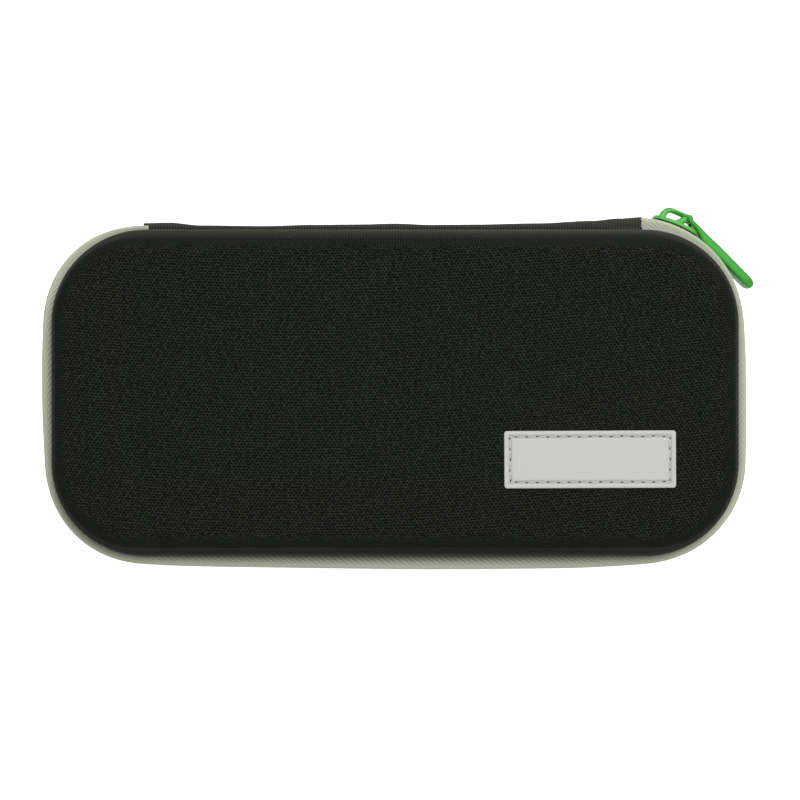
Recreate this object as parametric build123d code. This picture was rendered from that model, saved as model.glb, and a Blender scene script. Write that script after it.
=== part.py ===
"""Zipped carry case for an otoscope: two moulded shells joined by a zip on three sides and a cloth spine.

Frame: the case lies shut with its lid up. The origin is the middle of the base's flat face, +X runs along the
case, +Y points to the spine and +Z points up. Lengths are millimetres and angles are degrees.
Pieces that both halves have are built for the lid, measured up from the middle of the zip, and mirrored for
the base.
"""

from build123d import *
from math import acos, atan2, cos, degrees, hypot, radians, sin
import os

# Shells
shell_length = 229.0  # over the rim
shell_width = 108.6
shell_corner = 31.0
shell_depth = 20.0  # rim to flat face
shell_wall = 2.4
shell_draft = 12.0  # lean of the wall
shell_rounding = 6.0  # between wall and flat face
lining_thickness = 0.6

# Band between the shells: zip tape on three sides, spine along the back
zip_band = 16.0  # from rim to rim
bulge_side = 3.6  # how far the band stands out past the rim at the ends
bulge_back = 4.4  # the same at the back and the front
corner_ease = 8.0  # added to the shell's corner radius
band_flat = 5.4  # half height of the band's upright part
tape_thickness = 0.8
hem_depth = 8.0  # sewn part inside the shell
slit = 1.0  # between the two halves of the zip
coil_thickness = 2.0
coil_width = 3.0
spine_thickness = 1.2
spine_fold = 0.3  # between the spine's two halves, where it bends
end_gap = 0.2  # between pieces that follow each other along the band
stop_length = 2.0
stop_thickness = 1.8
binding_thickness = 0.6
flex_angle = 24.0  # round the back right corner, where the lid's tape starts to flex
hinge_gap = 0.4  # from the spine's outer face to the line that the lid turns on

# Slider, at the back right corner
slider_angle = 67.5  # round the corner at rest
slider_length = 15.8
slider_width = 9.8
slider_corner = 2.5
plate_thickness = 1.2
plate_gap = 0.85  # outer plate to tape
coil_gap = 0.3  # inner plate to coil
flange_width = 1.1
flange_gap = 0.4  # flange to tape
post_length = 3.6
post_thickness = 0.6
post_setback = 1.4  # from the slider's end
bridge_width = 4.0
bridge_foot = 1.85
bridge_setback = 1.95  # from the slider's end
bridge_shoulder = 3.2  # radius over the foot
bridge_top = 1.05  # thickness of the arch
window_corner = 1.9
nose_wall = 0.55
strut_width = 1.8
strut_run = 3.35  # the strut starts on the plate this far before the pivot
strut_lead = 1.25  # and ends this far before it
strut_drop = 0.6  # and this far under it

# Pull tab
pull_length = 31.1  # from pivot to tip
pull_thickness = 2.7
pull_tip_width = 9.5
pull_arm = 1.2
pull_arm_gap = 0.3  # arm to bridge
pull_eye_radius = 0.8
pull_neck = 1.3  # thickness by the eye
pull_neck_length = 4.2
pull_grip_start = 8.8
pull_rest_gap = 0.3  # tab to tape
crossbar_radius = 0.45
crossbar_gap = 0.2
pivot_along = 3.6  # from the slider's middle
pivot_above = 2.75  # over the outer plate
slot_reach = 2.4
pull_face = 0.3  # pivot to outer face
tip_corner = 2.5

# Label on the lid
label_length = 55.3
label_width = 18.5
label_thickness = 1.2
label_corner = 0.9
label_end_margin = 24.05  # label to rim
label_front_margin = 23.6
label_turn = 0.25
label_rim = 1.4
channel_width = 1.0
channel_depth = 0.4
stitch_pitch = 3.4
stitch_length = 2.3
stitch_width = 0.45
stitch_height = 0.35

# Foam insert in the base and net pocket in the lid
foam_gap = 0.4  # foam to binding
foam_drop = 1.0  # rim to foam
foam_rounding = 2.5
foam_floor = 2.5  # foam left under the recesses
cover_thickness = 0.8
recess_corner = 8.0
recess_margin = 9.0  # foam left outside the recesses
recess_wall = 9.5  # foam left between recesses
handle_width = 31.0
head_length = 42.0
spare_length = 44.0
finger_radius = 11.0
pocket_height = 2.0  # rim to net
net_thickness = 0.4
pocket_edge = -8.0  # where the net stops, along Y
elastic_width = 6.0
elastic_thickness = 0.7

# Places that follow from the sizes
rim = zip_band / 2
middle = shell_depth + rim
tape_corner = shell_corner + corner_ease
tape_length = shell_length + 2 * bulge_side
tape_width = shell_width + 2 * bulge_back
track_x = tape_length / 2 - tape_corner
track_y = tape_width / 2 - tape_corner
lining_inset = shell_wall + lining_thickness
binding_inset = lining_inset + max(tape_thickness, spine_thickness)
foam_inset = binding_inset + binding_thickness + foam_gap
spine_end = shell_length / 2 - shell_corner  # the spine runs along the straight part of the back
coil_end = spine_end + end_gap + stop_length + end_gap
plate_low = tape_corner + plate_gap
plate_top = plate_low + plate_thickness
inner_top = tape_corner - tape_thickness - coil_thickness - coil_gap
inner_low = inner_top - plate_thickness
label_x = (shell_length - label_length) / 2 - label_end_margin
label_y = label_front_margin - (shell_width - label_width) / 2
reach = tape_length  # longer than anything that it cuts


def shell_outline(inset=0.0):
    return RectangleRounded(shell_length - 2 * inset, shell_width - 2 * inset, shell_corner - inset)


def tape_outline(inset=0.0):
    return RectangleRounded(tape_length - 2 * inset, tape_width - 2 * inset, tape_corner - inset)


def dome(inset, rounding=0.0, depth=None):
    """The space inside the shell's wall moved inwards, from the rim up, with a rounded top edge."""
    height = shell_depth - inset if depth is None else depth
    block = Pos(0, 0, rim) * extrude(shell_outline(inset), height, taper=shell_draft)
    if rounding:
        block = fillet(block.faces().sort_by(Axis.Z)[-1].edges(), rounding)
    return block


def wall_ring(inset, thickness, depth):
    """A strip that follows the inner side of the wall, from the rim up."""
    return dome(inset, depth=depth) - dome(inset + thickness, depth=depth)


def upright_ring(inset, thickness, low, high):
    """A strip that follows the band's upright part."""
    return Pos(0, 0, low) * extrude(tape_outline(inset) - tape_outline(inset + thickness), high - low)


def slab(low, high):
    return Pos(0, 0, (low + high) / 2) * Box(reach, reach, high - low)


def back_box(half_length):
    """Everything behind the middle of the case and within half_length of its centre."""
    return Pos(0, reach / 2, 0) * Box(2 * half_length, reach, reach)


def band(thickness, half_slit):
    """Half of the band all the way round: hem inside the shell, fold under the rim, shoulder and flat."""
    outside = loft([Pos(0, 0, band_flat) * tape_outline(), Pos(0, 0, rim) * shell_outline()], ruled=True)
    under = Pos(0, 0, band_flat) * tape_outline(thickness)
    over = Pos(0, 0, rim - thickness) * shell_outline(thickness)
    inside = loft([under, over], ruled=True)
    opening = Pos(0, 0, band_flat) * extrude(shell_outline(lining_inset + thickness), rim - band_flat)
    shoulder = outside - inside - opening
    flat = upright_ring(0, thickness, half_slit, band_flat)
    hem = wall_ring(lining_inset, thickness, hem_depth)
    return shoulder + flat + hem


def stop(side):
    """One end stop, on the coil's line beside the spine; side is 1 at the right and -1 at the left."""
    ring = upright_ring(tape_thickness, stop_thickness, slit / 2, slit / 2 + coil_width)
    window = Pos(side * (spine_end + end_gap + stop_length / 2), reach / 2, 0) * Box(stop_length, reach, reach)
    return ring & window


def flex_zone():
    """The part of the back right corner where the lid's tape flexes as the slider passes it."""
    far_x = reach * cos(radians(flex_angle))
    far_y = reach * sin(radians(flex_angle))
    corners = [(0, 0), (far_x, far_y), (far_x, reach), (0, reach)]
    return Pos(track_x, track_y, 0) * extrude(Polygon(corners, align=None), reach, both=True)


def shell():
    return dome(0, shell_rounding) - dome(shell_wall, shell_rounding - shell_wall)


def lining():
    inner_rounding = shell_rounding - lining_inset
    return dome(shell_wall, shell_rounding - shell_wall) - dome(lining_inset, inner_rounding)


def zip_tape():
    return band(tape_thickness, slit / 2) - back_box(spine_end + end_gap)


def zip_coil():
    ring = upright_ring(tape_thickness, coil_thickness, slit / 2, slit / 2 + coil_width)
    return ring - back_box(coil_end)


def spine():
    return band(spine_thickness, spine_fold / 2) & back_box(spine_end)


def recesses():
    """The insert's recesses, seen from above: handle, specula, spare parts and head, with a finger notch."""
    half_length = shell_length / 2 - foam_inset - recess_margin
    half_width = shell_width / 2 - foam_inset - recess_margin
    row_length = 2 * half_length - head_length - recess_wall
    upper_width = 2 * half_width - handle_width - recess_wall
    specula_length = row_length - spare_length - recess_wall
    handle_x = row_length / 2 - half_length
    handle_y = handle_width / 2 - half_width
    upper_y = half_width - upper_width / 2
    specula_x = specula_length / 2 - half_length
    spare_x = row_length - half_length - spare_length / 2
    head_x = half_length - head_length / 2
    notch_y = handle_y + handle_width / 2 - recess_corner
    handle = Pos(handle_x, handle_y) * RectangleRounded(row_length, handle_width, recess_corner)
    specula = Pos(specula_x, upper_y) * RectangleRounded(specula_length, upper_width, recess_corner)
    spare = Pos(spare_x, upper_y) * RectangleRounded(spare_length, upper_width, recess_corner)
    head = Pos(head_x, 0) * RectangleRounded(head_length, 2 * half_width, recess_corner)
    return handle + specula + spare + head + Pos(handle_x, notch_y) * Circle(finger_radius)


def insert():
    """The foam block and its cloth face, as they would sit in the lid."""
    foam_top = rim + foam_drop
    lining_floor = rim + shell_depth - lining_inset
    block = dome(foam_inset, foam_rounding, lining_floor - rim) - slab(0, foam_top)
    foam = block - Pos(0, 0, foam_top) * extrude(recesses(), lining_floor - foam_floor - foam_top)
    face = Pos(0, 0, foam_top - cover_thickness) * extrude(shell_outline(foam_inset), cover_thickness)
    holes = Pos(0, 0, rim) * extrude(recesses(), foam_drop)
    return foam, (face & dome(foam_inset)) - holes


def net_pocket():
    """The net sheet inside the lid and the elastic band along its open edge."""
    inside = dome(binding_inset + binding_thickness)
    net_low = rim + pocket_height
    behind_edge = Pos(0, pocket_edge + reach / 2, 0) * Box(reach, reach, reach)
    net = inside & slab(net_low, net_low + net_thickness) & behind_edge
    edge = Pos(0, pocket_edge + elastic_width / 2, 0) * Box(reach, elastic_width, reach)
    elastic = inside & slab(net_low - elastic_thickness, net_low) & edge
    return net, elastic


def label():
    """The label plate and the thread in its channel, flat on the lid."""
    top = rim + shell_depth
    place = Pos(label_x, label_y, top) * Rot(0, 0, label_turn)
    plate = extrude(RectangleRounded(label_length, label_width, label_corner), label_thickness)
    channel_top = Rectangle(label_length - 2 * label_rim, label_width - 2 * label_rim)
    inset = label_rim + channel_width
    channel = channel_top - Rectangle(label_length - 2 * inset, label_width - 2 * inset)
    floor = label_thickness - channel_depth
    plate -= Pos(0, 0, floor) * extrude(channel, channel_depth)
    run_x = label_length - 2 * label_rim - channel_width
    run_y = label_width - 2 * label_rim - channel_width
    along = Pos(0, 0, stitch_height / 2) * Box(stitch_length, stitch_width, stitch_height)
    columns = int(run_x / stitch_pitch)
    rows = int(run_y / stitch_pitch)
    stitches = []
    for side in (-1, 1):
        for i in range(columns):
            x = (i - (columns - 1) / 2) * stitch_pitch
            stitches.append(place * Pos(x, side * run_y / 2, floor) * along)
        for i in range(rows):
            y = (i - (rows - 1) / 2) * stitch_pitch
            stitches.append(place * Pos(side * run_x / 2, y, floor) * Rot(0, 0, 90) * along)
    return place * plate, Compound(children=stitches)


def slider_frame():
    """From the slider's own frame, with the corner's centre as origin and the slider on +Y, to the case."""
    return Pos(track_x, track_y, middle) * Rot(0, 0, slider_angle - 90)


def curved(low, high, half_height):
    """A ring round the corner's centre, between two radii."""
    return Pos(0, 0, -half_height) * extrude(Circle(high) - Circle(low), 2 * half_height)


def slider_body():
    """Two curved plates, the flanges beside the coil and the thin post that runs through the slit."""
    half_width = slider_width / 2
    shape = Plane.XZ * RectangleRounded(slider_length, slider_width, slider_corner)
    column = extrude(shape, -reach)
    outer = curved(plate_low, plate_top, half_width) & column
    inner = curved(inner_low, inner_top, half_width) & column
    flange_top = tape_corner - tape_thickness - flange_gap
    flanges = curved(inner_top, flange_top, half_width) & column
    flanges -= Box(reach, reach, slider_width - 2 * flange_width)
    post_x = (post_length - slider_length) / 2 + post_setback
    post = curved(inner_top, plate_low, post_thickness / 2)
    post &= Pos(post_x, reach / 2, 0) * Box(post_length, reach, post_thickness)
    return outer + inner + flanges + post


def slider_bridge():
    """An arch on the outer plate. Its far end closes round the crossbar and comes back to the plate as a strut."""
    room = crossbar_radius + crossbar_gap
    nose_radius = room + nose_wall
    height = pivot_above + nose_radius
    left = bridge_setback - slider_length / 2
    leg_height = height - bridge_shoulder + plate_thickness
    opening = slider_length  # the window's corner counts, and its other sides lie past the bridge
    shoulder = Pos(left + bridge_shoulder, height - bridge_shoulder) * Circle(bridge_shoulder)
    nose = Pos(pivot_along, pivot_above) * Circle(nose_radius)
    leg = Pos(left + bridge_foot / 2, leg_height / 2 - plate_thickness) * Rectangle(bridge_foot, leg_height)
    window = Pos(left + bridge_foot + opening / 2, height - bridge_top - opening / 2)
    window *= RectangleRounded(opening, opening, window_corner)
    strut_start = Pos(pivot_along - strut_run, 0) * Circle(strut_width / 2)
    strut_end = Pos(pivot_along - strut_lead, pivot_above - strut_drop) * Circle(strut_width / 2)
    arch = make_hull((shoulder + nose).edges()) - window
    strut = make_hull((strut_start + strut_end).edges())
    section = arch + leg + nose + strut - Pos(pivot_along, pivot_above) * Circle(room)
    bracket = Pos(0, plate_top, 0) * extrude(section, bridge_width / 2, both=True)
    return bracket - Cylinder(plate_top, bridge_width)


def pull_frame():
    """From the pull's own frame, with its pivot as origin, its tip on +X and its outer face on +Y, to the case."""
    pivot_y = plate_top + pivot_above
    line = tape_corner + pull_rest_gap + pull_thickness - pull_face
    turn = degrees(atan2(pivot_y, pivot_along) - acos(line / hypot(pivot_along, pivot_y))) - 90
    return slider_frame() * Pos(pivot_along, pivot_y, 0) * Rot(0, 0, turn)


def pull_tab():
    """The grip, the neck and the two arms that pass the bridge and carry the crossbar between them."""
    neck_radius = pull_neck / 2
    grip_radius = pull_thickness / 2
    neck = Pos(neck_radius, pull_face - neck_radius) * Circle(neck_radius)
    neck_end = Pos(pull_neck_length, pull_face - neck_radius) * Circle(neck_radius)
    grip = Pos(pull_grip_start, pull_face - grip_radius) * Circle(grip_radius)
    grip_end = Pos(pull_length - grip_radius, pull_face - grip_radius) * Circle(grip_radius)
    eye = make_hull((Circle(pull_eye_radius) + neck).edges())
    side = eye
    for start, end in ((neck, neck_end), (neck_end, grip), (grip, grip_end)):
        side += make_hull((start + end).edges())
    arm_outer = bridge_width / 2 + pull_arm_gap + pull_arm
    half_tip = pull_tip_width / 2
    front = [
        (-reach, -arm_outer),
        (pull_grip_start, -arm_outer),
        (pull_grip_start + half_tip, -half_tip),
        (pull_length - tip_corner, -half_tip),
        (pull_length, -half_tip + tip_corner),
        (pull_length, half_tip - tip_corner),
        (pull_length - tip_corner, half_tip),
        (pull_grip_start + half_tip, half_tip),
        (pull_grip_start, arm_outer),
        (-reach, arm_outer),
    ]
    tab = extrude(side, half_tip, both=True)
    tab &= extrude(Plane.XZ * Polygon(front, align=None), reach, both=True)
    slot_width = bridge_width + 2 * pull_arm_gap
    slot = Pos(slot_reach - reach / 2, 0, 0) * Box(reach, reach, slot_width)
    return (tab - slot) + Cylinder(crossbar_radius, slot_width)


def build():
    """Every piece, by name, where it belongs on the case."""
    to_lid = Pos(0, 0, middle)
    flexing = flex_zone()
    tape = zip_tape()
    coil = zip_coil()
    hinge_strip = spine()
    foam, cover = insert()
    net, elastic = net_pocket()
    plate, stitches = label()
    binding = wall_ring(binding_inset, binding_thickness, hem_depth)
    lid = {
        "lid_shell": shell(),
        "lid_lining": lining(),
        "lid_binding": binding,
        "lid_zip_tape": tape - flexing,
        "lid_zip_tape_end": tape & flexing,
        "lid_zip_coil": coil - flexing,
        "lid_zip_coil_end": coil & flexing,
        "lid_top_stop": stop(1),
        "spine_upper": hinge_strip,
        "mesh_pocket": net,
        "pocket_elastic": elastic,
        "label_patch": plate,
        "label_stitching": stitches,
    }
    base = {
        "base_shell": shell(),
        "base_lining": lining(),
        "base_binding": binding,
        "base_zip_tape": tape,
        "base_zip_coil": coil,
        "base_top_stop": stop(1),
        "base_bottom_stop": stop(-1),
        "spine_lower": hinge_strip,
        "foam_insert": foam,
        "insert_cover": cover,
    }
    pieces = {name: to_lid * shape for name, shape in lid.items()}
    for name, shape in base.items():
        pieces[name] = to_lid * mirror(shape, about=Plane.XY)
    pieces["slider_body"] = slider_frame() * slider_body()
    pieces["slider_bridge"] = slider_frame() * slider_bridge()
    pieces["pull_tab"] = pull_frame() * pull_tab()
    return pieces


def main():
    os.makedirs("parts", exist_ok=True)
    for name, shape in build().items():
        shape.label = name
        export_step(shape, f"parts/{name}.step")
    turn_line = tape_width / 2 + hinge_gap
    pivot = pull_frame().position
    print("lid turns on y", turn_line, "z", middle)
    print("slider turns on x", track_x, "y", track_y)
    print("pull turns on", pivot)


main()
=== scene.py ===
import math

import bmesh
import bpy
from mathutils import Matrix, Vector


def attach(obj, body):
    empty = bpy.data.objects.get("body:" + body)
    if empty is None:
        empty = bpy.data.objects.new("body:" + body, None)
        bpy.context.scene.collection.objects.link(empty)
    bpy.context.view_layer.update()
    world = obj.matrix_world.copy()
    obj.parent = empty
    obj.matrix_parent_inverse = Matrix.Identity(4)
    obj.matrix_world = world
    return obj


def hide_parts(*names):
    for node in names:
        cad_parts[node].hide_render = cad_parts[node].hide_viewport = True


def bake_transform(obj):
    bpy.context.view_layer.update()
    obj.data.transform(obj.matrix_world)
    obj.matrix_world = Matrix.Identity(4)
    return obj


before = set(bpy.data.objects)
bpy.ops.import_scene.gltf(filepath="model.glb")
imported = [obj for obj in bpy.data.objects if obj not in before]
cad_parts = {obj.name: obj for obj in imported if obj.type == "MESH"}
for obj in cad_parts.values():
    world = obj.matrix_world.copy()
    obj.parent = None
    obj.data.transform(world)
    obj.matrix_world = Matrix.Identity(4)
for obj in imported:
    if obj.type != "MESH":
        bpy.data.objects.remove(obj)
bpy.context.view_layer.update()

# Camera
# It looks straight down at the closed case from 0.63 m over the table, with a long lens, so the case lies
# square in the view and its walls hardly show.
camera_data = bpy.data.cameras.new("camera")
camera_data.lens = 79.875
camera_data.sensor_width = 36
camera = bpy.data.objects.new("camera", camera_data)
camera.location = (0.00162, -0.00233, 0.628)
bpy.context.scene.collection.objects.link(camera)
bpy.context.scene.camera = camera
bpy.context.scene.view_settings.view_transform = "Standard"


# Table, room and lamps
# The case lies on a white table in a white room. A soft lamp hangs overhead, a little behind and to the
# right, and two weaker ones light its front and its back. Only the case's shadow shows on the table.


class Signal:
    """One output of a shader node. Arithmetic on it adds Math nodes, and node() adds any other node."""

    def __init__(self, tree, socket=None):
        self.tree = tree
        self.socket = socket

    def node(self, kind, settings=None, inputs=None, output=0):
        """Adds a node: its settings are set first, and then the values or links of its sockets."""
        added = self.tree.nodes.new("ShaderNode" + kind)
        for name, value in (settings or {}).items():
            setattr(added, name, value)
        for name, value in (inputs or {}).items():
            if isinstance(value, Signal):
                self.tree.links.new(value.socket, added.inputs[name])
            else:
                added.inputs[name].default_value = value
        return Signal(self.tree, added.outputs[output] if added.outputs else None)

    def math(self, operation, *values):
        return self.node("Math", {"operation": operation}, dict(enumerate(values)))

    def parts(self):
        """The three parts of a vector."""
        first = self.node("SeparateXYZ", {}, {"Vector": self})
        return [Signal(self.tree, socket) for socket in first.socket.node.outputs]

    def blend(self, low, high):
        """A colour that goes from low to high as this signal goes from 0 to 1."""
        return self.node("Mix", {"data_type": "RGBA"}, {0: self, 6: low, 7: high}, 2)

    def eased(self, low, high):
        """0 below low, 1 above high, and smooth between them."""
        ends = {"Value": self, "From Min": low, "From Max": high}
        return self.node("MapRange", {"interpolation_type": "SMOOTHSTEP"}, ends)

    def sine(self):
        return self.math("SINE", self)

    def __add__(self, other):
        return self.math("ADD", self, other)

    def __radd__(self, other):
        return self.math("ADD", other, self)

    def __sub__(self, other):
        return self.math("SUBTRACT", self, other)

    def __rsub__(self, other):
        return self.math("SUBTRACT", other, self)

    def __mul__(self, other):
        return self.math("MULTIPLY", self, other)

    def __rmul__(self, other):
        return self.math("MULTIPLY", other, self)


def seen_directly(start):
    """1 for what the camera, a reflection or a clear surface shows, and 0 for light on the case."""
    camera_ray = start.node("LightPath", {}, {}, "Is Camera Ray")
    glossy_ray = start.node("LightPath", {}, {}, "Is Glossy Ray")
    clear_ray = start.node("LightPath", {}, {}, "Is Transmission Ray")
    return start.math("MAXIMUM", camera_ray, start.math("MAXIMUM", glossy_ray, clear_ray))


room_light = 0.4
world = bpy.data.worlds.new("room")
bpy.context.scene.world = world
world.use_nodes = True
world.node_tree.nodes.clear()
room = Signal(world.node_tree)
room_strength = seen_directly(room) * (1 - room_light) + room_light
backdrop = room.node("Background", {}, {"Color": (1, 1, 1, 1), "Strength": room_strength})
room.node("OutputWorld", {}, {"Surface": backdrop})

table_white = (0.8, 0.8, 0.8, 1)
table_glow = 0.95
table_half = 3
table_drop = 0.0003
table_bm = bmesh.new()
bmesh.ops.create_grid(table_bm, x_segments=1, y_segments=1, size=table_half)
bmesh.ops.translate(table_bm, verts=table_bm.verts, vec=(0, 0, -table_drop))
table_mesh = bpy.data.meshes.new("table")
table_bm.to_mesh(table_mesh)
table_bm.free()
table = bpy.data.objects.new("table", table_mesh)
bpy.context.scene.collection.objects.link(table)
table_finish = bpy.data.materials.new("table_white")
table_finish.use_nodes = True
table_finish.node_tree.nodes.clear()
top = Signal(table_finish.node_tree)
matt = top.node("BsdfDiffuse", {}, {"Color": table_white})
glow = top.node("Emission", {}, {"Strength": seen_directly(top) * table_glow})
top.node("OutputMaterial", {}, {"Surface": top.node("AddShader", {}, {0: matt, 1: glow})})
table.data.materials.append(table_finish)


def hang_lamp(name, place, width, power):
    """A square soft lamp that faces the middle of the case."""
    light = bpy.data.lights.new(name, "AREA")
    light.size = width
    light.energy = power
    lamp = bpy.data.objects.new(name, light)
    lamp.location = place
    lamp.rotation_euler = (-Vector(place)).to_track_quat("-Z", "Y").to_euler()
    bpy.context.scene.collection.objects.link(lamp)


hang_lamp("lamp_over", (0.16, 0.32, 1.2), 0.4, 9.0)
hang_lamp("lamp_front", (0.1, -0.9, 0.8), 0.8, 0.8)
hang_lamp("lamp_back", (0.3, 1.1, 0.45), 0.7, 3.0)


# Shells
# The base and the lid are trays of moulded foam with woven polyester cloth bonded to both faces. The heat
# of the mould presses the cloth smooth on the wall, which ends in a narrow flange with a hard edge. The
# flange is paler, partly in its own tone and partly as a painted highlight. The wall is painted lighter
# than the top as a painted sheen, and a paler band at the wall's foot is painted light in the crease there.
mm = 0.001  # lengths are in millimetres until make_piece scales them
corner_x = 83.5
corner_y = 23.3
corner_radius = 31.0
quarter_way = corner_x + corner_radius * math.pi / 2 + corner_y
rim_height = 36.0
top_height = 56.0
shell_wall = 2.4
draft = math.tan(math.radians(12))
long_steps = 28
short_steps = 16
turn_steps = 24


def reach_of(place):
    """How far a point is from the nearest point of the rectangle that joins the corners' centres."""
    return math.hypot(max(abs(place.x) - corner_x, 0), max(abs(place.y) - corner_y, 0))


def sweep(outline, back=0.0, closed=False):
    """A band round the case, from `back` beside its middle. The outline's points are (reach, height)."""
    bm = bmesh.new()
    points = [bm.verts.new((back, corner_y + reach, height)) for reach, height in outline]
    pairs = list(zip(points, points[1:]))
    if closed:
        pairs.append((points[-1], points[0]))
    end = points + [bm.edges.new(pair) for pair in pairs]
    moves = [
        ((corner_x - back, 0, 0), None, long_steps),
        (None, (corner_x, corner_y, 0), turn_steps),
        ((0, -2 * corner_y, 0), None, short_steps),
        (None, (corner_x, -corner_y, 0), turn_steps),
        ((-corner_x, 0, 0), None, long_steps),
    ]
    for run, centre, steps in moves:
        stride = Vector(run) / steps if run else Vector()
        angle = -math.pi / 2 if centre else 0.0
        around = centre or (0, 0, 0)
        turn = {"cent": around, "axis": (0, 0, 1), "angle": angle}
        end = bmesh.ops.spin(bm, geom=end, dvec=stride, steps=steps, **turn)["geom_last"]
    bmesh.ops.mirror(bm, geom=bm.verts[:] + bm.edges[:] + bm.faces[:], axis="X", merge_dist=0.001)
    bmesh.ops.recalc_face_normals(bm, faces=bm.faces)
    return bm


def close_middle(bm, height):
    """Fills the rectangle between the corners' centres at a height."""
    grid = bmesh.ops.create_grid(bm, x_segments=2 * long_steps, y_segments=short_steps, size=1)
    bmesh.ops.scale(bm, vec=(corner_x, corner_y, 1), verts=grid["verts"])
    bmesh.ops.translate(bm, vec=(0, 0, height), verts=grid["verts"])
    bmesh.ops.remove_doubles(bm, verts=bm.verts, dist=0.01)
    bmesh.ops.recalc_face_normals(bm, faces=bm.faces)


def edges_round(bm, reach, height):
    """The edges that run round the case at a reach and a height."""
    near = {v for v in bm.verts if abs(v.co.z - height) < 0.01 and abs(reach_of(v.co) - reach) < 0.01}
    return [edge for edge in bm.edges if set(edge.verts) <= near]


def soften(bm, edges, size, steps=3):
    """Rounds edges over."""
    bmesh.ops.bevel(bm, geom=edges, offset=size, segments=steps, profile=0.5, affect="EDGES", material=-1)


def turn_over(bm):
    """Mirrors a lid's piece to make the base's."""
    bmesh.ops.scale(bm, vec=(1, 1, -1), verts=bm.verts)
    bmesh.ops.translate(bm, vec=(0, 0, top_height), verts=bm.verts)


def lay_cloth(bm):
    """Gives a shell its cloth's own coordinates in millimetres, with the wall unfolded outwards."""
    cloth = bm.loops.layers.uv.new("cloth")
    for face in bm.faces:
        for loop in face.loops:
            place = loop.vert.co
            over_x = math.copysign(max(abs(place.x) - corner_x, 0), place.x)
            over_y = math.copysign(max(abs(place.y) - corner_y, 0), place.y)
            outward = Vector((over_x, over_y)).normalized()
            loop[cloth].uv = place.xy + outward * (top_height - place.z)


def make_piece(name, bm, body, finish, nodes=(), crease=35):
    """Turns a mesh in millimetres into a piece that moves with a body and stands for its solids."""
    bmesh.ops.remove_doubles(bm, verts=bm.verts, dist=0.001)
    bmesh.ops.recalc_face_normals(bm, faces=bm.faces)
    bmesh.ops.scale(bm, vec=(mm, mm, mm), verts=bm.verts)
    mesh = bpy.data.meshes.new(name)
    bm.to_mesh(mesh)
    bm.free()
    mesh.shade_smooth()
    mesh.set_sharp_from_angle(angle=math.radians(crease))
    mesh.materials.append(finish)
    piece = bpy.data.objects.new(name, mesh)
    bpy.context.scene.collection.objects.link(piece)
    if body:
        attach(piece, body)
    if nodes:
        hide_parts(*nodes)
    return piece


def new_finish(name):
    """A material with no nodes yet, and the signal that its nodes are added from."""
    finish = bpy.data.materials.new(name)
    finish.use_nodes = True
    finish.node_tree.nodes.clear()
    return finish, Signal(finish.node_tree)


def surface(start, inputs, height=None, depth=0.0):
    """Adds the surface shader and the output. The height goes from 0 to 1 over `depth` metres."""
    if height is not None:
        inputs["Normal"] = start.node("Bump", {}, {"Height": height, "Distance": depth})
    shader = start.node("BsdfPrincipled", {}, inputs)
    start.node("OutputMaterial", {}, {"Surface": shader})


warp_pitch = 0.608
weft_pitch = 0.909
bow_centre = -27.3
bow = 1.055e-3  # curve of the weft, where the mould has drawn the cloth
side_pitch = 0.95
cloth_black = (0.0086, 0.0096, 0.0084, 1)
# The flange's grey is partly the pressed edge's own paler tone and partly a painted highlight along the
# lip.
flange_tone_and_highlight = (0.026, 0.028, 0.02, 1)
# The wall's foot is painted paler: painted light that lifts the shade in the crease there.
crease_painted_light = (0.03, 0.0325, 0.025, 1)

# Where the cloth changes its look, in metres above or below the middle of the zip.
flat_level = (0.026, 0.0278)
shoulder_level = (0.0218, 0.0248)
lip_level = (0.0085, 0.0098)
flange_level = (0.0088, 0.0112)
slope_foot = (0.0088, 0.0096)
slope_head = (0.0104, 0.0135)

shell_cloth, start = new_finish("shell_cloth")
across, along, _ = start.node("TexCoord", {}, {}, "UV").parts()
_, _, height = start.node("TexCoord", {}, {}, "Object").parts()
fuzz = start.node("TexNoise", {}, {"Scale": 700.0, "Detail": 3.0})
blotch = start.node("TexNoise", {}, {"Scale": 18.0, "Detail": 2.0})
off_bow = across - bow_centre
row = (along - off_bow * off_bow * (bow / 2)) * (math.pi / weft_pitch)
column = across * (math.pi / warp_pitch)
weft = 1 - row.sine() * row.sine()
check = row.sine() * column.sine() * 0.5 + 0.5
level = height.math("ABSOLUTE", height - top_height * mm / 2)
on_flat = level.eased(*flat_level)
on_shoulder = level.eased(*shoulder_level)
lean = across * (1.33 - along * 0.006) * (math.pi / side_pitch)
ridge = lean.sine() * lean.sine() * (weft * 0.7 + 0.3)
patch = start.node("TexNoise", {}, {"Scale": 190.0, "Detail": 1.0}).eased(0.3, 0.62)
strand = weft * 0.45 + check * (patch * 0.75 + 0.25)
flat_light = on_flat * strand * strand * strand * 2.5
side_light = (1 - on_flat) * ridge * ridge * 4.5
# The walls are painted lighter than the top, as a painted sheen of the cloth at grazing light.
lightness = on_shoulder * (flat_light + side_light) + (1 - on_shoulder) * 0.3 + 0.62
lightness = lightness * (0.3 + fuzz * 1.4) * (0.85 + blotch * 0.3)
shade = start.node("CombineColor", {}, {"Red": lightness, "Green": lightness, "Blue": lightness})
multiply = {"data_type": "RGBA", "blend_type": "MULTIPLY", "clamp_result": False}
black = start.node("Mix", multiply, {0: 1.0, 6: cloth_black, 7: shade}, 2)
# on_flange marks the flange for its paler tone and its painted highlight.
on_flange = 1 - level.eased(*flange_level)
on_lip = 1 - level.eased(*lip_level)
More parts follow.
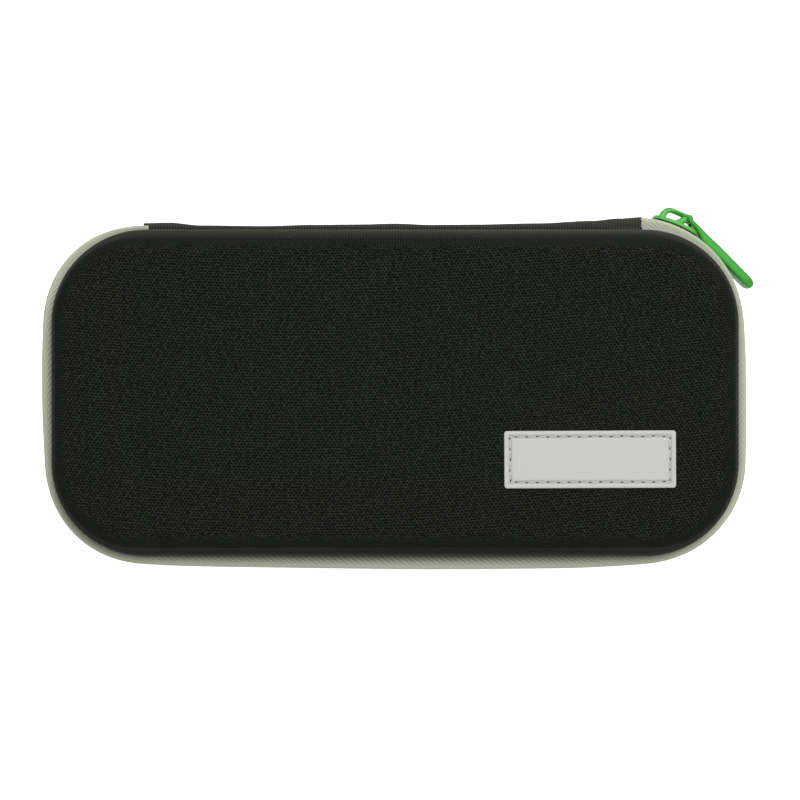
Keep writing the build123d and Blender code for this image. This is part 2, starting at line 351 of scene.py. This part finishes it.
# on_slope marks the wall's foot, where the crease's shade is lifted with painted light.
on_slope = level.eased(*slope_foot) * (1 - level.eased(*slope_head))
surface(
    start,
    {
        "Base Color": on_slope.blend(on_flange.blend(black, flange_tone_and_highlight), crease_painted_light),
        "Roughness": 0.8,
        "Specular IOR Level": 0.015,
        "Coat Weight": on_lip * 0.55,
        "Coat Roughness": 0.3,
    },
    (on_flat * strand + (1 - on_flat) * ridge) * on_shoulder + fuzz * 0.3,
    0.00008,
)

wall_top = corner_radius - (top_height - rim_height) * draft
shoulder_rounding = 4.9
inner_rounding = 2.9
lip_thick = 1.0
lip_rounding = 0.35
rim_rounding = 0.3
flange_rounding = 0.25
shell_outline = [
    (0, top_height),
    (wall_top, top_height),
    (corner_radius - 1.9, rim_height + 3.2),
    (corner_radius - 1.3, rim_height + 1.8),
    (corner_radius - 0.7, rim_height + 1.2),
    (corner_radius, rim_height + lip_thick),
    (corner_radius, rim_height),
    (corner_radius - shell_wall, rim_height),
    (wall_top - shell_wall, top_height - shell_wall),
    (0, top_height - shell_wall),
]
for body in ("lid", "base"):
    bm = sweep(shell_outline)
    close_middle(bm, top_height)
    close_middle(bm, top_height - shell_wall)
    soften(bm, edges_round(bm, wall_top, top_height), shoulder_rounding, 8)
    soften(bm, edges_round(bm, wall_top - shell_wall, top_height - shell_wall), inner_rounding, 5)
    for point in shell_outline[2:5]:
        soften(bm, edges_round(bm, *point), flange_rounding, 2)
    soften(bm, edges_round(bm, corner_radius, rim_height + lip_thick), lip_rounding, 3)
    soften(bm, edges_round(bm, corner_radius, rim_height), rim_rounding, 3)
    lay_cloth(bm)
    if body == "base":
        turn_over(bm)
    make_piece(f"{body}_moulded_shell", bm, body, shell_cloth, [f"{body}_shell"])


# Linings
# A brushed polyester knit, 0.6 mm thick, that is bonded to the inside of each shell when it is moulded and
# ends at the shell's rim.
lining = 0.6
bond_gap = 0.01
lining_foot = rim_height + 0.05
lining_outline = [
    (0, top_height - shell_wall - bond_gap),
    (wall_top - shell_wall, top_height - shell_wall - bond_gap),
    (corner_radius - shell_wall - bond_gap, lining_foot),
    (corner_radius - shell_wall - lining, lining_foot),
    (wall_top - shell_wall - lining, top_height - shell_wall - lining),
    (0, top_height - shell_wall - lining),
]
lining_dark = (0.02, 0.02, 0.021, 1)
lining_light = (0.045, 0.045, 0.047, 1)

lining_knit, start = new_finish("lining_knit")
pile = start.node("TexNoise", {}, {"Scale": 1400.0, "Detail": 4.0})
brushed = start.node("TexNoise", {}, {"Scale": 60.0, "Detail": 3.0})
surface(
    start,
    {
        "Base Color": (pile * 0.6 + brushed * 0.4).blend(lining_dark, lining_light),
        "Roughness": 0.95,
        "Specular IOR Level": 0.15,
        "Sheen Weight": 0.2,
    },
    pile,
    0.0002,
)

for body in ("lid", "base"):
    bm = sweep(lining_outline)
    close_middle(bm, top_height - shell_wall - bond_gap)
    close_middle(bm, top_height - shell_wall - lining)
    soften(bm, edges_round(bm, *lining_outline[1]), inner_rounding, 5)
    soften(bm, edges_round(bm, *lining_outline[4]), inner_rounding - 0.5, 5)
    if body == "base":
        turn_over(bm)
    make_piece(f"{body}_knit_lining", bm, body, lining_knit, [f"{body}_lining"])


# Bindings
# A ribbed black tape, sewn round the inside of each rim through the shell. It covers the raw edges of the
# zip's tape and of the spine, which are sewn in behind it.
hem_depth = 8.0
hem_lean = hem_depth * draft
hem_top = rim_height + hem_depth
binding_foot = rim_height + 0.1
binding_inset = 4.2
binding_thick = 0.6
binding_rounding = 0.25
binding_rib_pitch = 0.9
binding_dark = (0.012, 0.012, 0.012, 1)
binding_light = (0.028, 0.028, 0.027, 1)
binding_outline = [
    (corner_radius - binding_inset, binding_foot),
    (corner_radius - binding_inset - hem_lean, hem_top),
    (corner_radius - binding_inset - binding_thick - hem_lean, hem_top),
    (corner_radius - binding_inset - binding_thick, binding_foot),
]


def way_round(place, sign_x, sign_y):
    """How far round the outline a point is, clockwise from the middle of the back as seen from above."""
    over_x = max(abs(place.x) - corner_x, 0)
    over_y = max(abs(place.y) - corner_y, 0)
    turned = corner_radius * math.atan2(over_x, over_y)
    way = min(abs(place.x), corner_x) + turned + corner_y - min(abs(place.y), corner_y)
    if sign_y < 0:
        way = 2 * quarter_way - way
    return way if sign_x > 0 else 4 * quarter_way - way


def lay_tape(bm):
    """Gives a band its own coordinates in millimetres: along it, and across it from the rim."""
    tape = bm.loops.layers.uv.new("tape")
    for face in bm.faces:
        middle = face.calc_center_median()
        for loop in face.loops:
            place = loop.vert.co
            along = way_round(place, middle.x, middle.y)
            loop[tape].uv = (along, rim_height - place.z + reach_of(place) - corner_radius)


binding_rib, start = new_finish("binding_rib")
along, _, _ = start.node("TexCoord", {}, {}, "UV").parts()
rib = (along * (math.pi / binding_rib_pitch)).sine()
rib = rib * rib
surface(
    start,
    {
        "Base Color": rib.blend(binding_dark, binding_light),
        "Roughness": 0.85,
        "Specular IOR Level": 0.2,
    },
    rib,
    0.00015,
)

for body in ("lid", "base"):
    bm = sweep(binding_outline, closed=True)
    soften(bm, edges_round(bm, *binding_outline[1]), binding_rounding, 2)
    soften(bm, edges_round(bm, *binding_outline[2]), binding_rounding, 2)
    lay_tape(bm)
    if body == "base":
        turn_over(bm)
    make_piece(f"{body}_rim_binding", bm, body, binding_rib, [f"{body}_binding"])


# Zip tapes
# Two bands of pale twill tape, sewn inside the rims, that flare out under them and meet over the coil. The
# sewing pulls them in at the corners and lets them stand out along the sides.
tape_thick = 0.8
tape_end = 82.6  # from the middle of the back
tape_flare = 3.6  # from the shell's rim to the middle of the tape's upright part
tape_half = tape_flare + tape_thick / 2
end_rounding = 1.8
sag_start = 130.0
sag_stop = 500.0
sag_share = 0.9
sag_width = 1.6
sag_from = 2.2  # the tape sags by the rim where it stands out by more than this
sag_depth = 3.5
parting = 2.1
parting_middle = 89.5
parting_reach = 6.0
parting_rise = 2.5
twill_pitch = 2.12
yarn_pitch = 0.45
tape_rounding = 0.35

# Each pair is a place, as the way round to it from the middle of the back, and how far the band stands out
# of the shell there.
band_stands_out = [
    (83.0, 4.7),
    (88.0, 4.1),
    (93.0, 3.3),
    (100.0, 2.8),
    (110.0, 2.3),
    (126.0, 1.9),
    (132.0, 2.2),
    (140.0, 2.9),
    (168.0, 3.1),
    (182.0, 2.8),
    (200.0, 2.35),
    (222.0, 2.4),
    (234.0, 3.5),
    (250.0, 4.4),
    (280.0, 4.8),
    (304.0, 4.9),
    (340.0, 4.4),
    (372.0, 3.9),
    (386.0, 3.5),
    (398.0, 2.7),
    (414.0, 2.9),
    (438.0, 2.55),
    (448.0, 3.1),
    (462.0, 3.8),
    (478.0, 3.9),
    (492.0, 3.3),
    (508.0, 3.25),
    (520.0, 2.8),
    (530.0, 1.9),
    (539.0, 1.6),
]


def stands_out(way):
    """How far the band stands out of the shell, evened out over 10 mm of its length."""

    def straight(at):
        for (first, low), (last, high) in zip(band_stands_out, band_stands_out[1:]):
            if at <= last:
                return low + (high - low) * max(at - first, 0) / (last - first)
        return band_stands_out[-1][1]

    return sum(straight(way + step) for step in (-5, -2.5, 0, 2.5, 5)) / 5


def parted(way):
    """How far the free edge of the lid's tape stands off the base's, where the slider's bridge is."""
    share = min(max((parting_reach - abs(way - parting_middle)) / parting_rise, 0), 1)
    return parting * share * share * (3 - 2 * share)


def flare(bm):
    """Moves a band of even width in and out, as the sewing leaves it."""
    for vert in bm.verts:
        reach = reach_of(vert.co)
        if reach <= corner_radius:
            continue
        if abs(vert.co.x) < tape_end + 0.01 and vert.co.y > 0:
            cut_back = end_rounding * ((reach - corner_radius) / tape_flare) ** 3
            vert.co.x += math.copysign(cut_back, vert.co.x)
        way = way_round(vert.co, vert.co.x, vert.co.y)
        wanted = stands_out(way)
        if vert.co.z > rim_height - sag_depth and sag_start < way < sag_stop:
            near_rim = max(1 - (reach - corner_radius) / sag_width, 0)
            vert.co.z -= sag_share * max(wanted - sag_from, 0) * near_rim
        centre = Vector((
            max(-corner_x, min(vert.co.x, corner_x)),
            max(-corner_y, min(vert.co.y, corner_y)),
        ))
        outward = (vert.co.xy - centre).normalized()
        vert.co.xy = centre + outward * (corner_radius + (reach - corner_radius) * wanted / tape_half)


tape_outline = [
    (corner_radius - 3.4 - hem_lean, hem_top),
    (corner_radius - 3.4, rim_height + 0.4),
    (corner_radius - 2.4, rim_height - 0.5),
    (corner_radius - 0.4, rim_height - 0.9),
    (corner_radius + 0.1, rim_height - 2.1),
    (corner_radius + 1.0, rim_height - 2.3),
    (corner_radius + 2.2, rim_height - 2.1),
    (corner_radius + 3.2, rim_height - 1.9),
    (corner_radius + tape_flare, rim_height - 2.6),
    (corner_radius + tape_flare, rim_height - 7.6),
]
tape_pale = (0.62, 0.62, 0.555, 1)
tape_olive = (0.585, 0.605, 0.465, 1)
# The tape's darkest tone: its rib furrows, and the painted shade by the rim.
tape_dark = (0.045, 0.046, 0.036, 1)

zip_twill, start = new_finish("zip_twill")
along, across, _ = start.node("TexCoord", {}, {}, "UV").parts()
rib = ((along + across * 2.2) * (math.pi / twill_pitch)).sine()
rib = rib * rib
# The tape is painted darker towards the rim: painted shade in the fold under the shell's lip.
out_of_painted_shade = across.eased(1.5, 2.8)
yarn = ((along - across * 0.4) * (math.pi / yarn_pitch)).sine()
yarn = yarn * yarn
fibre = start.node("TexNoise", {}, {"Scale": 1200.0, "Detail": 3.0})
relief = rib * (0.8 - out_of_painted_shade * 0.5) + yarn * 0.3 + fibre * 0.5
twill = across.eased(2.4, 4.2).blend(tape_pale, tape_olive)
# The rib furrows are painted darker near the rim too, as painted shade.
painted_furrow_shade = (1 - rib) * (0.55 - across.eased(2.6, 5.0) * 0.51)
surface(
    start,
    {
        "Base Color": (relief * 0.3 + out_of_painted_shade * (0.92 - painted_furrow_shade) - 0.15).blend(tape_dark, twill),
        "Roughness": 0.9,
        "Specular IOR Level": 0.2,
    },
    relief,
    0.00018,
)

for body, nodes in (("lid", ["lid_zip_tape", "lid_zip_tape_end"]), ("base", ["base_zip_tape"])):
    bm = sweep(tape_outline, back=tape_end)
    for point in tape_outline[1:-1]:
        soften(bm, edges_round(bm, *point), tape_rounding, 2)
    lay_tape(bm)
    if body == "lid":
        for vert in bm.verts:
            if vert.co.z < tape_outline[-1][1] + 0.1 and vert.co.x > 0:
                vert.co.z += parted(way_round(vert.co, vert.co.x, vert.co.y))
    flare(bm)
    if body == "base":
        turn_over(bm)
    piece = make_piece(f"{body}_twill_tape", bm, body, zip_twill, nodes, crease=60)
    thicken = piece.modifiers.new("thickness", "SOLIDIFY")
    thicken.thickness = tape_thick * mm
    thicken.offset = 0


# Zip coils and stops
# The teeth are two coils of nylon wire that catch in each other, sewn along the inner faces of the tapes.
# Small metal crimps close the zip at its ends.
coil_pitch = 1.6
coil_start = 85.9
coil_lift = 1.4  # from the middle of the zip to the middle of a coil
hidden_turns = {"lid": 5, "base": 0}  # the lid's coil starts past the slider's bridge
wire_radius = 0.33
turn_radius = 0.67
turn_stretch = 1.1
coil_inside = tape_thick / 2 + turn_radius + wire_radius
coil_dark = (0.28, 0.29, 0.24, 1)
coil_light = (0.4, 0.41, 0.35, 1)


def place_round(way, outside):
    """The matrix that puts a shape some way round the outline, with its +X pointing outwards."""
    mirrored = way > 2 * quarter_way
    if mirrored:
        way = 4 * quarter_way - way
    first_turn = min(max(way - corner_x, 0), corner_radius * math.pi / 2)
    down = min(max(way - corner_x - first_turn, 0), 2 * corner_y)
    second_turn = min(max(way - corner_x - first_turn - down, 0), corner_radius * math.pi / 2)
    back_run = min(way, corner_x)
    front_run = max(way - corner_x - first_turn - down - second_turn, 0)
    turned = (first_turn + second_turn) / corner_radius
    radius = corner_radius + outside
    x = back_run - front_run + radius * math.sin(turned)
    y = corner_y - down + radius * math.cos(turned)
    heading = math.pi / 2 - turned
    if mirrored:
        x = -x
        heading = math.pi - heading
    return Matrix.Translation((x, y, 0)) @ Matrix.Rotation(heading, 4, "Z")


coil_nylon, start = new_finish("coil_nylon")
grain = start.node("TexNoise", {}, {"Scale": 500.0, "Detail": 2.0})
surface(
    start,
    {
        "Base Color": grain.blend(coil_dark, coil_light),
        "Roughness": 0.45 + grain * 0.1,
        "Specular IOR Level": 0.4,
    },
    grain,
    0.00002,
)

coil_nodes = {"lid": ["lid_zip_coil", "lid_zip_coil_end"], "base": ["base_zip_coil"]}
for body, shift in (("lid", 0.0), ("base", coil_pitch / 2)):
    bm = bmesh.new()
    bmesh.ops.create_circle(bm, segments=5, radius=wire_radius)
    bmesh.ops.translate(bm, vec=(turn_radius, 0, 0), verts=bm.verts)
    section = bm.verts[:] + bm.edges[:]
    bmesh.ops.spin(bm, geom=section, axis=(0, 1, 0), angle=2 * math.pi, steps=10, use_merge=True)
    for vert in bm.verts:
        if abs(vert.co.z) > 0.2:
            vert.co.z += math.copysign(turn_stretch, vert.co.z)
    one_turn = bm.verts[:] + bm.edges[:] + bm.faces[:]
    count = int((4 * quarter_way - 2 * coil_start) / coil_pitch)
    for i in range(hidden_turns[body], count):
        way = coil_start + shift + (i + 0.25) * coil_pitch
        copied = bmesh.ops.duplicate(bm, geom=one_turn)["geom"]
        verts = [item for item in copied if isinstance(item, bmesh.types.BMVert)]
        outside = tape_flare * stands_out(way) / tape_half - coil_inside
        place = place_round(way, outside) @ Matrix.Translation((0, 0, top_height / 2 + coil_lift))
        bmesh.ops.transform(bm, matrix=place, verts=verts)
    pattern = [item for item in one_turn if isinstance(item, bmesh.types.BMVert)]
    bmesh.ops.delete(bm, geom=pattern, context="VERTS")
    if body == "base":
        turn_over(bm)
    make_piece(f"{body}_wire_coil", bm, body, coil_nylon, coil_nodes[body], crease=60)

stop_dark = (0.16, 0.165, 0.15, 1)
stop_light = (0.26, 0.26, 0.245, 1)
stop_rounding = 0.35
stop_inset = 2.6  # of the bottom stop, so that the end of the tape covers it

stop_metal, start = new_finish("stop_metal")
scuff = start.node("TexNoise", {}, {"Scale": 300.0, "Detail": 4.0})
surface(
    start,
    {
        "Base Color": scuff.blend(stop_dark, stop_light),
        "Roughness": 0.3 + scuff * 0.2,
        "Metallic": 0.85,
    },
    scuff,
    0.00003,
)


def soft_copy(node, rounding, steps=2):
    """A solid's mesh in millimetres, with its flat faces whole again and its sharp edges rounded."""
    bm = bmesh.new()
    bm.from_mesh(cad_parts[node].data)
    bmesh.ops.scale(bm, vec=(1 / mm, 1 / mm, 1 / mm), verts=bm.verts)
    bmesh.ops.remove_doubles(bm, verts=bm.verts, dist=0.005)
    bmesh.ops.dissolve_limit(bm, angle_limit=math.radians(1), verts=bm.verts, edges=bm.edges)
    sharp = [edge for edge in bm.edges if edge.calc_face_angle(0) > math.radians(35)]
    soften(bm, sharp, rounding, steps)
    return bm


stops = [("base_top_stop", "base", 0), ("base_bottom_stop", "base", stop_inset), ("lid_top_stop", "lid", 0)]
for node, body, inset in stops:
    bm = soft_copy(node, stop_rounding)
    bmesh.ops.translate(bm, vec=(0, -inset, 0), verts=bm.verts)
    make_piece(f"{node}_crimp", bm, body, stop_metal, [node])


# Spine
# One strip of fine ribbed black webbing, sewn inside both rims along the back. It is the case's hinge. It
# is built as one closed strip that moves with neither shell and does not fold, and it puckers a little
# where the sewing pulls it in.
spine_left = -84.2
spine_right = 82.8
spine_thick = 1.0
spine_flare = 4.0
spine_steps = 96
spine_rounding = 0.5
spine_rib_pitch = 0.00098
spine_dark = (0.006, 0.006, 0.005, 1)
spine_light = (0.065, 0.066, 0.05, 1)

# Each pair is a place along the spine, from its middle, and how far it stands out of the shell there.
spine_out = [
    (-84.0, 2.9),
    (-76.0, 3.1),
    (-65.0, 2.1),
    (-44.0, 1.85),
    (-28.0, 2.3),
    (-12.0, 2.45),
    (0.0, 2.75),
    (12.0, 2.3),
    (26.0, 2.4),
    (48.0, 2.85),
    (66.0, 3.7),
    (75.0, 4.5),
    (83.0, 5.0),
]
spine_outline = [
    (corner_radius - 3.6 - hem_lean, hem_top),
    (corner_radius - 3.6, rim_height + 0.4),
    (corner_radius - 2.4, rim_height - 0.7),
    (corner_radius - 0.4, rim_height - 1.0),
    (corner_radius + 0.2, rim_height - 2.8),
    (corner_radius + 1.3, rim_height - 3.0),
    (corner_radius + 2.7, rim_height - 2.4),
    (corner_radius + 3.6, rim_height - 2.9),
    (corner_radius + 3.9, rim_height - 4.4),
    (corner_radius + spine_flare, rim_height - 6.4),
]


def spine_reach(x):
    """How far the spine stands out of the shell at a place along it."""
    for (first, low), (last, high) in zip(spine_out, spine_out[1:]):
        if x <= last:
            share = max(x - first, 0) / (last - first)
            return low + (high - low) * share * share * (3 - 2 * share)
    return spine_out[-1][1]


spine_web, start = new_finish("spine_web")
x, _, _ = start.node("TexCoord", {}, {}, "Object").parts()
rib = (x * (math.pi / spine_rib_pitch)).sine()
rib = rib * rib
fray = start.node("TexNoise", {}, {"Scale": 700.0, "Detail": 3.0})
drift = start.node("TexNoise", {}, {"Scale": 25.0, "Detail": 2.0})
relief = rib * 0.8 + fray * 0.4
surface(
    start,
    {
        "Base Color": (relief * 0.7 + drift * 0.3).blend(spine_dark, spine_light),
        "Roughness": 0.85,
        "Specular IOR Level": 0.2,
    },
    relief,
    0.00012,
)

bm = bmesh.new()
lower = [(reach, top_height - height) for reach, height in reversed(spine_outline)]
points = [bm.verts.new((spine_left, corner_y + reach, height)) for reach, height in spine_outline + lower]
ends = points + [bm.edges.new(pair) for pair in zip(points, points[1:])]
stride = ((spine_right - spine_left) / spine_steps, 0, 0)
bmesh.ops.spin(bm, geom=ends, axis=(0, 0, 1), dvec=stride, angle=0.0, steps=spine_steps)
inner_edges = [edge for edge in bm.edges if not edge.is_boundary]
long_edges = [edge for edge in inner_edges if abs(edge.verts[0].co.x - edge.verts[1].co.x) > 0.1]
soften(bm, long_edges, spine_rounding, 2)
for vert in bm.verts:
    past = vert.co.y - corner_y - corner_radius
    if past > 0:
        middle_reach = spine_reach(vert.co.x) - spine_thick / 2
        vert.co.y = corner_y + corner_radius + past * middle_reach / spine_flare
spine_halves = ["spine_lower", "spine_upper"]
spine = make_piece("cloth_spine", bm, None, spine_web, spine_halves, crease=60)
thicken = spine.modifiers.new("thickness", "SOLIDIFY")
thicken.thickness = spine_thick * mm
thicken.offset = 0
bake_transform(spine)


# Foam insert
# A block of dark closed-cell foam pressed into the base, cut out for the handle, head, specula and spares.
# A brushed knit is glued to its top face, with the same cut-outs.
foam_dark = (0.014, 0.014, 0.015, 1)
foam_light = (0.045, 0.045, 0.046, 1)
foam_rounding = 0.6
cover_rounding = 0.3
insert_dark = (0.02, 0.02, 0.021, 1)
insert_light = (0.06, 0.06, 0.063, 1)

foam_cells, start = new_finish("foam_cells")
cells = start.node("TexVoronoi", {}, {"Scale": 1300.0})
mottle = start.node("TexNoise", {}, {"Scale": 90.0, "Detail": 3.0})
surface(
    start,
    {
        "Base Color": (cells * 0.5 + mottle * 0.5).blend(foam_dark, foam_light),
        "Roughness": 0.95,
        "Specular IOR Level": 0.2,
    },
    cells,
    0.00012,
)
bm = soft_copy("foam_insert", foam_rounding)
foam = make_piece("cut_foam_insert", bm, "base", foam_cells, ["foam_insert"])

insert_knit, start = new_finish("insert_knit")
pile = start.node("TexNoise", {}, {"Scale": 1600.0, "Detail": 4.0})
brushed = start.node("TexNoise", {}, {"Scale": 45.0, "Detail": 3.0})
surface(
    start,
    {
        "Base Color": (pile * 0.6 + brushed * 0.4).blend(insert_dark, insert_light),
        "Roughness": 0.95,
        "Specular IOR Level": 0.15,
        "Sheen Weight": 0.25,
    },
    pile,
    0.0002,
)
bm = soft_copy("insert_cover", cover_rounding)
cover = make_piece("insert_face_cloth", bm, "base", insert_knit, ["insert_cover"])


# Net pocket
# A sheet of black knitted net, sewn into the lid's binding on three sides, with a band of woven elastic
# along its open edge. The net sags a little between the sewing and the elastic.
net_height = rim_height + 2.2
net_reach = corner_radius - 4.8 - 2 * draft
net_edge = -8.0
net_sewn_edge = 50.0
net_half_length = 110.0
net_sag = 0.5
hole_size = 0.0021
net_dark = (0.012, 0.012, 0.012, 1)
net_light = (0.03, 0.03, 0.03, 1)
elastic_rounding = 0.2
cord_pitch = 0.0009
cross_pitch = 0.0007
elastic_dark = (0.012, 0.012, 0.012, 1)
elastic_light = (0.035, 0.035, 0.034, 1)

net_black, start = new_finish("net_black")
x, y, _ = start.node("TexCoord", {}, {}, "Object").parts()
turn = 2 * math.pi / hole_size
waves = (x * turn).math("COSINE", x * turn)
for slant in (0.5, -0.5):
    phase = (x * slant + y * (math.sqrt(3) / 2)) * turn
    waves = waves + phase.math("COSINE", phase)
strand = 1 - waves.eased(-0.25, 0.05)
surface(
    start,
    {
        "Base Color": strand.blend(net_dark, net_light),
        "Alpha": strand,
        "Roughness": 0.8,
        "Specular IOR Level": 0.3,
    },
)
bm = sweep([(0, net_height), (net_reach, net_height)])
close_middle(bm, net_height)
cut = bm.verts[:] + bm.edges[:] + bm.faces[:]
bmesh.ops.bisect_plane(bm, geom=cut, plane_co=(0, net_edge, 0), plane_no=(0, 1, 0), clear_inner=True)
for vert in bm.verts:
    off_sewing = (net_sewn_edge - vert.co.y) / (net_sewn_edge - net_edge)
    slack = (1 - (vert.co.x / net_half_length) ** 2) * off_sewing
    vert.co.z -= net_sag * max(slack, 0)
net = make_piece("net_pocket", bm, "lid", net_black, ["mesh_pocket"])

elastic_weave, start = new_finish("elastic_weave")
x, y, _ = start.node("TexCoord", {}, {}, "Object").parts()
cord = (y * (math.pi / cord_pitch)).sine()
cross = (x * (math.pi / cross_pitch)).sine()
relief = cord * cord * 0.7 + cross * cross * 0.3
surface(
    start,
    {
        "Base Color": relief.blend(elastic_dark, elastic_light),
        "Roughness": 0.8,
        "Specular IOR Level": 0.25,
    },
    relief,
    0.00015,
)
bm = soft_copy("pocket_elastic", elastic_rounding)
elastic = make_piece("pocket_elastic_band", bm, "lid", elastic_weave, ["pocket_elastic"])


# Label
# A plain moulded patch of soft plastic with a raised rim. It is sewn to the lid with grey thread, through a
# channel inside the rim.
label_size = (55.3, 18.5)
label_thick = 1.2
label_middle = (62.8, -21.45)
label_turn = math.radians(0.25)
label_corner = 0.9
label_rim = 1.4
channel = 1.0
channel_deep = 0.5
label_dark = (0.484, 0.489, 0.459, 1)
label_light = (0.569, 0.574, 0.546, 1)
stitches_long_side = 16
stitches_short_side = 4
stitch_pitch = 3.4
stitch_long = 2.2
thread_pitch = 0.00045
thread_dark = (0.42, 0.43, 0.38, 1)
thread_light = (0.72, 0.73, 0.67, 1)
thread_shape = (stitch_long / 2, 0.27, 0.24, 1)
thread_lift = 0.08
hole_shape = (0.6, 0.24, 0.06, 1)
# The needle holes are dark flat discs: painted shade for the depth of the holes.
hole_shade_black = (0.03, 0.03, 0.027, 1)
hole_shade_grey = (0.12, 0.12, 0.11, 1)
sewing_wander = 0.1
sewing_tilt = 0.08


def lay_on_lid(bm):
    """Puts the label's things in their place on the lid, a hair askew as they were sewn."""
    bmesh.ops.rotate(bm, cent=(0, 0, 0), matrix=Matrix.Rotation(label_turn, 3, "Z"), verts=bm.verts)
    bmesh.ops.translate(bm, vec=(*label_middle, top_height), verts=bm.verts)


label_plastic, start = new_finish("label_plastic")
grain = start.node("TexNoise", {}, {"Scale": 2500.0, "Detail": 2.0})
cast = start.node("TexNoise", {}, {"Scale": 40.0, "Detail": 2.0})
surface(
    start,
    {
        "Base Color": (grain * 0.4 + cast * 0.6).blend(label_dark, label_light),
        "Roughness": 0.5 + grain * 0.15,
        "Specular IOR Level": 0.35,
    },
    grain,
    0.00003,
)
label_profile = [
    (0.05, 0),
    (0, 0.1),
    (0, label_thick - 0.35),
    (0.1, label_thick - 0.1),
    (0.35, label_thick),
    (label_rim - 0.2, label_thick),
    (label_rim, label_thick - 0.15),
    (label_rim + 0.08, label_thick - channel_deep),
    (label_rim + channel - 0.08, label_thick - channel_deep),
    (label_rim + channel, label_thick - 0.15),
    (label_rim + channel + 0.2, label_thick),
    (label_rim + channel + 0.6, label_thick),
]
corner_steps = 5
bm = bmesh.new()
rings = []
for inset, height in label_profile:
    corner = max(label_corner - inset, 0.05)
    ring = []
    for quarter, (side_x, side_y) in enumerate(((1, 1), (-1, 1), (-1, -1), (1, -1))):
        for step in range(corner_steps):
            angle = (quarter + step / (corner_steps - 1)) * math.pi / 2
            x = side_x * (label_size[0] / 2 - inset - corner) + corner * math.cos(angle)
            y = side_y * (label_size[1] / 2 - inset - corner) + corner * math.sin(angle)
            ring.append(bm.verts.new((x, y, height)))
    rings.append(ring)
for lower, upper in zip(rings, rings[1:]):
    for i in range(len(lower)):
        bm.faces.new((lower[i - 1], lower[i], upper[i], upper[i - 1]))
bm.faces.new(rings[0])
bm.faces.new(rings[-1])
lay_on_lid(bm)
make_piece("label_soft_patch", bm, "lid", label_plastic, ["label_patch"])

thread_grey, start = new_finish("thread_grey")
x, y, _ = start.node("TexCoord", {}, {}, "Object").parts()
twist = ((x + y) * (math.pi / thread_pitch)).sine()
twist = twist * twist
surface(
    start,
    {
        "Base Color": twist.blend(thread_dark, thread_light),
        "Roughness": 0.7,
        "Specular IOR Level": 0.3,
    },
    twist,
    0.0001,
)

# Painted shade for the needle holes, a little mottled.
needle_hole, start = new_finish("needle_hole")
hole_shade_mottle = start.node("TexNoise", {}, {"Scale": 1500.0, "Detail": 2.0})
surface(
    start,
    {"Base Color": hole_shade_mottle.blend(hole_shade_black, hole_shade_grey), "Roughness": 0.9},
    hole_shade_mottle,
    0.00003,
)

run_x = label_size[0] - 2 * label_rim - channel
run_y = label_size[1] - 2 * label_rim - channel
stitch_floor = label_thick - channel_deep
threads_bm = bmesh.new()
holes_bm = bmesh.new()
rows = [(offset, 0.0, stitches_long_side) for offset in (run_y / 2, -run_y / 2)]
rows += [(offset, math.pi / 2, stitches_short_side) for offset in (run_x / 2, -run_x / 2)]
for offset, heading, count in rows:
    spin = Matrix.Rotation(heading, 4, "Z")
    aside = offset if heading == 0.0 else -offset
    for i in range(count + 1):
        along = (i - count / 2) * stitch_pitch
        across = aside + sewing_wander * math.sin(2.3 * i + offset)
        hole_place = spin @ Matrix.Translation((along, across, stitch_floor))
        hole = hole_place @ Matrix.Diagonal(hole_shape)
        bmesh.ops.create_icosphere(holes_bm, subdivisions=2, radius=1, matrix=hole)
        if i == count:
            continue
        tilt = Matrix.Rotation(sewing_tilt * math.sin(1.7 * i), 4, "Z")
        middle = (along + stitch_pitch / 2, across, stitch_floor + thread_lift)
        stitch = spin @ Matrix.Translation(middle) @ tilt @ Matrix.Diagonal(thread_shape)
        bmesh.ops.create_icosphere(threads_bm, subdivisions=2, radius=1, matrix=stitch)
lay_on_lid(threads_bm)
make_piece("label_thread", threads_bm, "lid", thread_grey, ["label_stitching"], crease=60)
lay_on_lid(holes_bm)
make_piece("label_needle_holes", holes_bm, "lid", needle_hole, [], crease=60)


# Slider and pull
# The slider is cast metal with a coat of green enamel: two plates on a post, and the bridge that its pull
# hangs on. The pull is moulded green plastic.
def green(name, dark, light, roughness, shine):
    """A green finish, a little uneven and rubbed."""
    finish, start = new_finish(name)
    cloud = start.node("TexNoise", {}, {"Scale": 120.0, "Detail": 3.0})
    peel = start.node("TexNoise", {}, {"Scale": 900.0, "Detail": 2.0})
    surface(
        start,
        {
            "Base Color": cloud.blend(dark, light),
            "Roughness": roughness + peel * 0.12,
            "Specular IOR Level": shine,
        },
        peel,
        0.00002,
    )
    return finish


body_rounding = 0.22
bridge_rounding = 0.45
pull_rounding = 0.6
enamel_thick = 0.2
pull_swell = 0.16
slider_turn = math.radians(67.5)
slider_faces = Vector((math.cos(slider_turn), math.sin(slider_turn), 0))
enamel = green("slider_enamel", (0.055, 0.37, 0.04, 1), (0.08, 0.43, 0.06, 1), 0.3, 0.35)
plastic = green("pull_plastic", (0.042, 0.345, 0.033, 1), (0.055, 0.39, 0.044, 1), 0.28, 0.14)

bm = soft_copy("slider_body", body_rounding)
make_piece("slider_cast_body", bm, "slider", enamel, ["slider_body"])

# The enamel thickens the bridge at its sides and below it, and leaves its outward face where it is.
bm = soft_copy("slider_bridge", bridge_rounding, 4)
bm.normal_update()
for vert in bm.verts:
    vert.co += vert.normal * enamel_thick * (1 - vert.normal.dot(slider_faces))
make_piece("slider_cast_bridge", bm, "slider", enamel, ["slider_bridge"])

bm = soft_copy("pull_tab", pull_rounding, 4)
bm.normal_update()
for vert in bm.verts:
    vert.co += vert.normal * pull_swell
make_piece("moulded_pull_tab", bm, "pull", plastic, ["pull_tab"])
